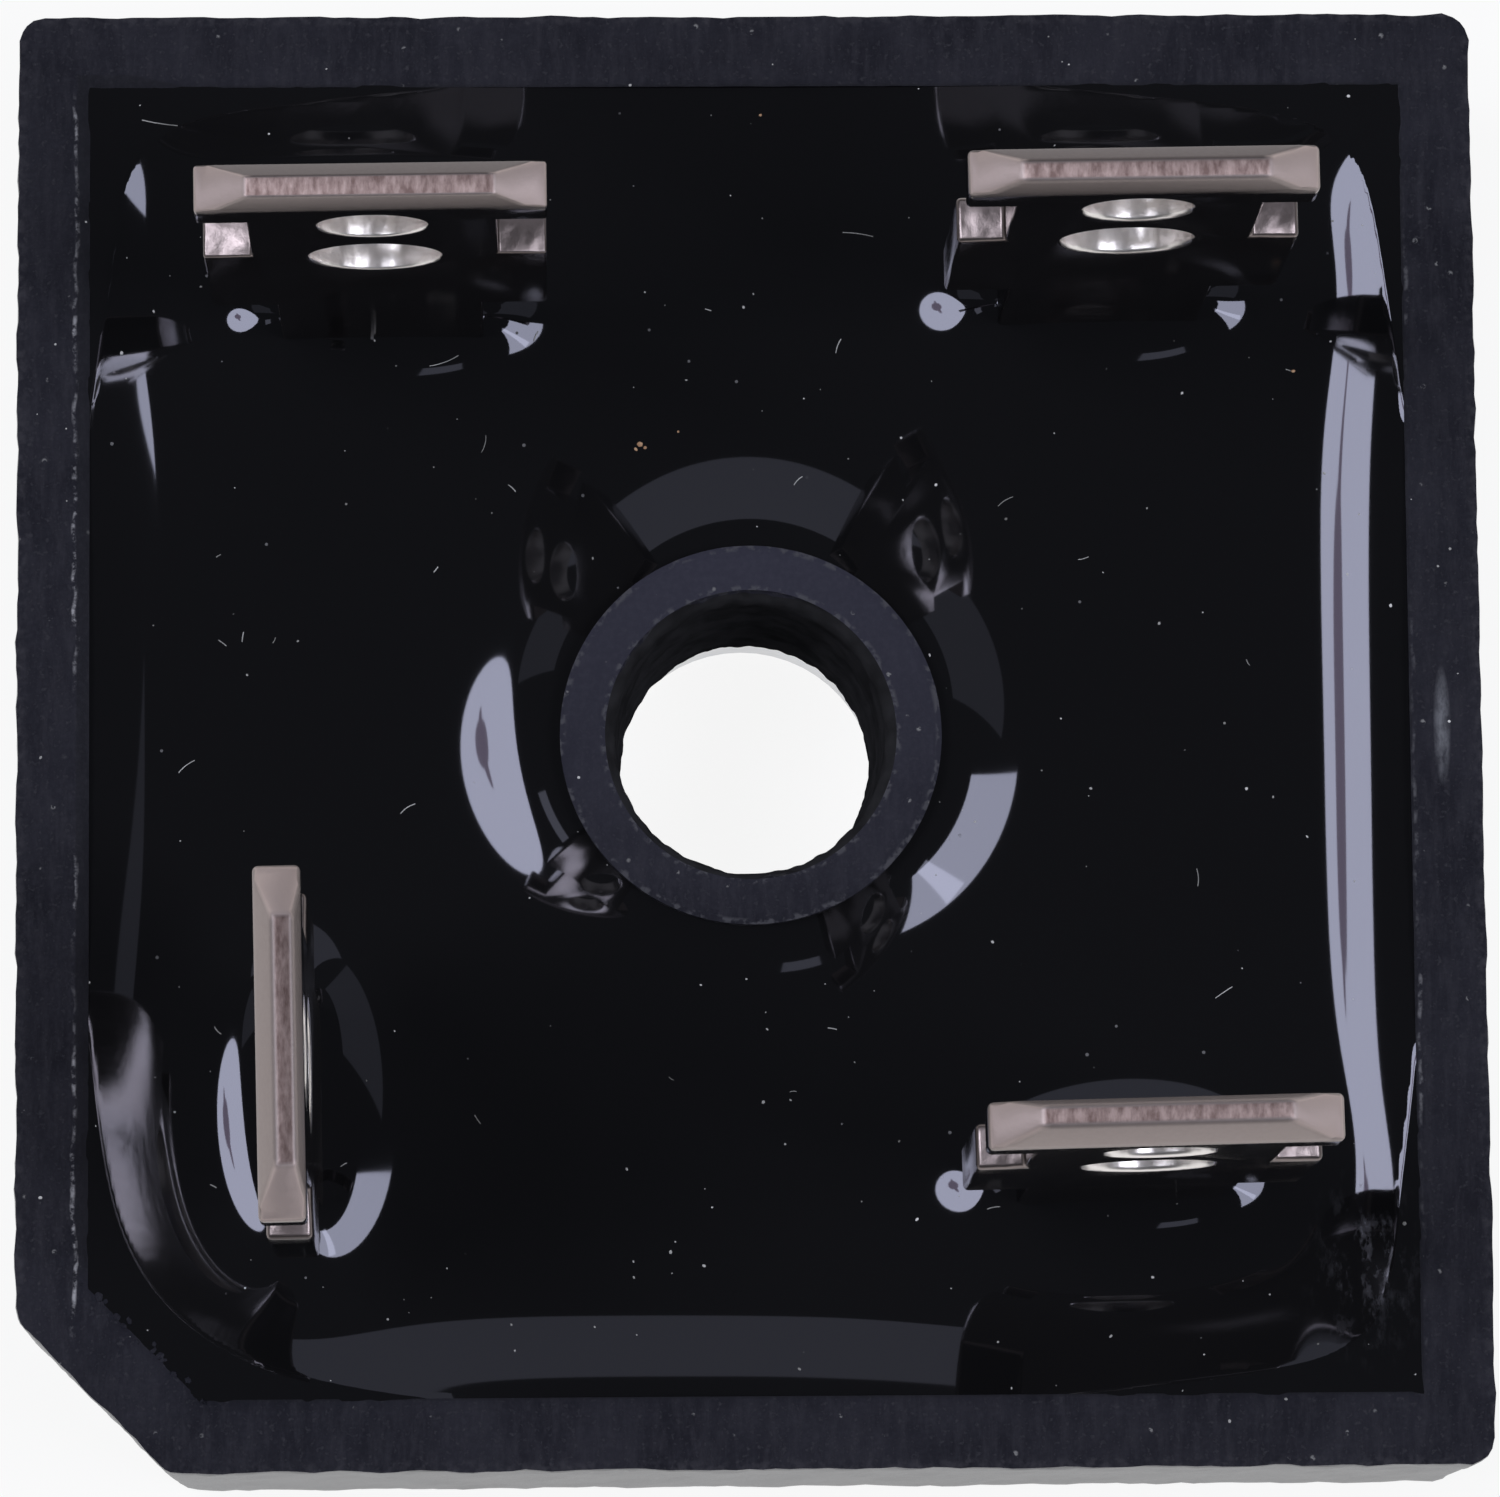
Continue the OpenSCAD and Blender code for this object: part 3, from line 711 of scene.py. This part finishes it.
for name, (tab_x, tab_y, turn) in zip(tab_names, tab_places):
    tab = copy_of("terminal_" + name, "tab_" + name)
    pick("verts", lambda v: cut_low < v.co.z < cut_high)
    bpy.ops.transform.translate(value=(0, 0, cut_lift))
    ease_edges(tab, 0.1 * MM)

    tin = bpy.data.materials.new("tin_" + name)
    tin.use_nodes = True
    g = Graph(tin)
    height = g.along("Z")
    near_top = g.ramp(height, tip_z - 0.2 * MM, tip_z - 0.1 * MM)
    up = g.times(g.ramp(g.facing("Z"), 0.93, 0.99), near_top)
    torn_lines = g.lumps(g.scaled(7000, 2500, 2000, turn=-turn), 1, 4, 0.6)
    fine = g.lumps(g.place, 12000, 4, 0.6)
    cloud = g.lumps(g.place, 500, 3)
    near_tip = g.ramp(height, tip_z - 0.9 * MM, tip_z - 0.7 * MM)
    level = g.size(g.facing("Z"))
    broad = g.ramp(level, 0.2, 0.05)
    home = Matrix.Rotation(math.radians(-turn), 3, "Z") @ Vector((-tab_x, -tab_y, 0)) * MM
    from_middle = g.size(g.axis(g.scaled(1, 1, 1, turn=-turn, move=home), "X"))
    # The area round the holes, whose walls get a painted highlight.
    hole_highlight_zone = g.ramp(from_middle, 1.6 * MM, 1.3 * MM)

    # The broad faces are bright tin, and the bevels and cut corners of the tip are duller.
    skin = g.blend(g.ramp(cloud, 0.3, 0.7), (0.56, 0.5, 0.47, 1), (0.68, 0.63, 0.6, 1))
    skin = g.blend(near_tip, skin, (0.35, 0.3, 0.29, 1))
    # On the two back tabs the tip bevel that faces +Y is painted darker: painted shade.
    if name in ("minus", "ac_1"):
        painted_shade_back_bevel = g.times(near_tip, g.ramp(g.facing("Y"), 0.25, 0.5))
        skin = g.blend(painted_shade_back_bevel, skin, (0.17, 0.145, 0.143, 1))
    cut_face = g.times(near_tip, g.ramp(from_middle, 2.1 * MM, 2.3 * MM))
    skin = g.blend(g.times(cut_face, g.ramp(level, 0.6, 0.75)), skin, (0.6, 0.5, 0.48, 1))

    # The hole walls are painted pale, a painted highlight for the lamps' light in them, and the
    # shoulders and the sides are dark.
    ledge_and_hole_highlight = g.blend(hole_highlight_zone, (0.23, 0.195, 0.19, 1), (0.85, 0.81, 0.79, 1))
    skin = g.blend(g.times(g.minus(1.0, near_tip), g.minus(1.0, broad)), skin, ledge_and_hole_highlight)
    sideways = g.ramp(g.size(g.facing("Y" if name == "plus" else "X")), 0.5, 0.8)
    sideways = g.times(sideways, g.minus(1.0, g.math("MAXIMUM", near_tip, hole_highlight_zone)))
    skin = g.blend(sideways, skin, (0.1, 0.085, 0.085, 1))

    # The top of the tip is torn across its thickness.
    shade = torn_shade[name]
    torn_dark = (0.18 * shade, 0.125 * shade, 0.115 * shade, 1)
    torn_pale = (0.4 * shade, 0.31 * shade, 0.29 * shade, 1)
    torn = g.blend(g.ramp(torn_lines, 0.35, 0.65), torn_dark, torn_pale)
    g.set(Base_Color=g.blend(up, skin, torn), Metallic=1.0)
    duller = g.ramp(g.minus(near_tip, broad), -1.0, 1.0, 0.0, 0.4)
    g.set(Roughness=g.plus(g.ramp(fine, 0.3, 0.7, 0.1, 0.16), duller))
    waves = g.times(g.lumps(g.place, 2300, 1), g.ramp(g.plus(broad, near_tip), 1.0, 0.0, 0.0, 12.0))
    rough_skin = g.plus(fine, g.times(torn_lines, up, 2.0))
    g.bump(g.plus(rough_skin, waves), 0.006 * MM, 0.5)
    tab.data.materials.clear()
    tab.data.materials.append(tin)
    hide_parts("terminal_" + name)
    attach(tab, "root")

# Base plate: rolled aluminium, sawn to size and glued into the foot of the walls. It closes the
# bottom, and carries the heat to what the part is screwed to.
plate = copy_of("base_plate", "heat_plate")
ease_edges(plate, 0.08 * MM)
rolled = bpy.data.materials.new("rolled_aluminium")
rolled.use_nodes = True
g = Graph(rolled)
lines = g.lumps(g.scaled(250, 14000, 14000), 1, 4, 0.6)
cloud = g.ramp(g.lumps(g.place, 350, 3), 0.3, 0.7)
aluminium = g.blend(cloud, (0.6, 0.61, 0.63, 1), (0.72, 0.73, 0.75, 1))
g.set(Base_Color=aluminium, Metallic=1.0)
g.set(Roughness=g.ramp(lines, 0.3, 0.7, 0.28, 0.42))
g.bump(lines, 0.004 * MM, 0.5)
plate.data.materials.clear()
plate.data.materials.append(rolled)
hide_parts("base_plate")
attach(plate, "root")

# Dust: grains and short fibres that have settled on the compound and the rim, a few brown crumbs,
# and chips of plastic left where the cut corner was trimmed.
random.seed(20)
grain_count = 230
grain_spread = 13.9
bore_clear = 3.2
rim_edge = 0.3 * MM
bare_rim = 0.4    # the share of grains that don't stay on the rim
grain_sizes = (0.012, 0.014, 0.016, 0.02, 0.024, 0.03, 0.036)


def lie(x, y):
    """The place on the compound or the rim under a point given in millimetres."""
    best = pool
    for body in (compound, case):
        hit, where, _, _ = body.ray_cast(Vector((x * MM, y * MM, rim + MM)), Vector((0, 0, -1)))
        if hit:
            best = max(best, where.z)
    return Vector((x * MM, y * MM, best))


def grain_at(x, y, size, finish, name):
    """One flattened, uneven grain that lies at a place."""
    bpy.ops.mesh.primitive_ico_sphere_add(subdivisions=1, radius=size * MM, location=lie(x, y))
    speck = bpy.context.object
    speck.name = name
    speck.scale = (random.uniform(0.6, 1.3), random.uniform(0.6, 1.3), random.uniform(0.35, 0.7))
    speck.rotation_euler = (0, 0, random.uniform(0, math.pi))
    speck.data.materials.append(finish)
    bpy.ops.object.transform_apply(location=True, rotation=True, scale=True)
    return speck


def gather(parts, name):
    """Joins loose parts into one piece."""
    bpy.ops.object.select_all(action="DESELECT")
    for part in parts:
        part.select_set(True)
    bpy.context.view_layer.objects.active = parts[0]
    bpy.ops.object.join()
    bpy.ops.object.transform_apply(location=True, rotation=True, scale=True)
    whole = bpy.context.object
    whole.name = name
    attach(whole, "root")


def dusty_finish(name, scale, detail, dark, light):
    """A dull, blotched material whose patches have that scale."""
    finish = bpy.data.materials.new(name)
    finish.use_nodes = True
    g = Graph(finish)
    g.set(Base_Color=g.blend(g.ramp(g.lumps(g.place, scale, detail), 0.35, 0.65), dark, light))
    g.set(Roughness=g.ramp(g.lumps(g.place, 20000, 2), 0.3, 0.7, 0.6, 0.9))
    return finish


lint = dusty_finish("lint", 700, 2, (0.16, 0.16, 0.15, 1), (0.75, 0.75, 0.74, 1))
rust = dusty_finish("brown_crumb", 9000, 3, (0.3, 0.13, 0.05, 1), (0.62, 0.4, 0.24, 1))
bpy.ops.object.select_all(action="DESELECT")
settled = []
while len(settled) < grain_count:
    x = random.uniform(-grain_spread, grain_spread)
    y = random.uniform(-grain_spread, grain_spread)
    depth = inset_of(x * MM, y * MM)
    if math.hypot(x, y) < bore_clear or depth < rim_edge:
        continue
    if depth < wall and random.random() < bare_rim:
        continue
    settled.append(grain_at(x, y, random.choice(grain_sizes), lint, "grain"))
gather(settled, "dust_grains")

# Each fibre has its start in millimetres, its heading in degrees and its length.
bpy.ops.object.select_all(action="DESELECT")
fibres = []
marked = [
    (1.75, 7.65, 80, 0.3), (2.5, 9.95, 165, 0.6), (-6.2, 7.35, 10, 0.6), (-11.1, 12.05, 175, 0.7),
    (-5.2, 5.7, 60, 0.35), (-11.1, -0.6, 50, 0.4), (8.7, -2.9, 80, 0.35), (9.0, -5.1, 35, 0.4),
    (0.9, 5.0, 60, 0.25), (4.9, 4.6, 45, 0.35), (-6.8, -1.4, 50, 0.35), (4.5, -9.2, 20, 0.25),
]
pieces = 6
short_fibres = 22
fibre_spread = 11.5
boss_clear = 4.5
fibre_lift = 0.015 * MM
for _ in range(short_fibres):
    x = random.uniform(-fibre_spread, fibre_spread)
    y = random.uniform(-fibre_spread, fibre_spread)
    if math.hypot(x, y) > boss_clear:
        marked.append((x, y, random.uniform(0, 180), random.uniform(0.1, 0.22)))
for x, y, turn, length in marked:
    curve = bpy.data.curves.new("fibre", "CURVE")
    curve.dimensions = "3D"
    curve.bevel_depth = random.uniform(0.007, 0.012) * MM
    curve.bevel_resolution = 1
    curve.use_fill_caps = True
    line = curve.splines.new("POLY")
    line.points.add(pieces)
    heading = math.radians(turn)
    bend = random.uniform(-0.13, 0.13)
    for point in line.points:
        on = lie(x, y)
        point.co = (on.x, on.y, on.z + fibre_lift, 1)
        x += math.cos(heading) * length / pieces
        y += math.sin(heading) * length / pieces
        heading += bend
    fibre = bpy.data.objects.new("fibre", curve)
    scene.collection.objects.link(fibre)
    fibre.data.materials.append(lint)
    fibres.append(fibre)
bpy.ops.object.select_all(action="DESELECT")
for fibre in fibres:
    fibre.select_set(True)
bpy.context.view_layer.objects.active = fibres[0]
bpy.ops.object.convert(target="MESH")
gather(fibres, "dust_fibres")

bpy.ops.object.select_all(action="DESELECT")
crumbs = [grain_at(x, y, size, rust, "crumb") for x, y, size in (
    (-2.1, 5.85, 0.07), (-2.0, 5.78, 0.05), (-2.18, 5.75, 0.04), (-1.35, 6.1, 0.03),
    (10.7, 7.2, 0.04), (0.3, 12.3, 0.04),
)]
gather(crumbs, "brown_crumbs")
bpy.ops.object.select_all(action="DESELECT")
chips = []
chip_count = 22
trim_x, trim_y, trim_run = -12.75, -10.65, 2.1
for _ in range(chip_count):
    step = trim_run * random.uniform(-0.1, 1.1)
    x = trim_x + step + random.uniform(-0.1, 0.1)
    y = trim_y - step + random.uniform(-0.1, 0.1)
    chips.append(grain_at(x, y, random.uniform(0.03, 0.1), plastic, "chip"))
gather(chips, "plastic_chips")

# Circuit: the insulator sheet, copper pads and clips, silicon chips and solder, all under the
# compound.
inner_finishes = {    # slot: darker colour, lighter colour, metallic, roughness
    "insulator": ((0.82, 0.8, 0.74, 1), (0.9, 0.89, 0.85, 1), 0.0, 0.55),
    "copper": ((0.7, 0.36, 0.22, 1), (0.82, 0.48, 0.33, 1), 1.0, 0.32),
    "silicon": ((0.12, 0.125, 0.16, 1), (0.2, 0.21, 0.26, 1), 0.6, 0.12),
    "solder": ((0.5, 0.51, 0.53, 1), (0.66, 0.67, 0.69, 1), 1.0, 0.38),
}
for slot, (dark, light, metal, rough) in inner_finishes.items():
    finish = bpy.data.materials.new(slot + "_inside")
    finish.use_nodes = True
    g = Graph(finish)
    cloud = g.lumps(g.place, 900, 4)
    fine = g.lumps(g.place, 9000, 3)
    g.set(Base_Color=g.blend(g.ramp(cloud, 0.35, 0.65), dark, light), Metallic=metal)
    g.set(Roughness=g.ramp(fine, 0.3, 0.7, rough * 0.8, rough * 1.2))
    g.bump(fine, 0.004 * MM, 0.4)
    for part in frame["record"]["subparts"]:
        if part["material_slot"] == slot and part["node"] in cad:
            body = cad[part["node"]]
            body.data.materials.clear()
            body.data.materials.append(finish)
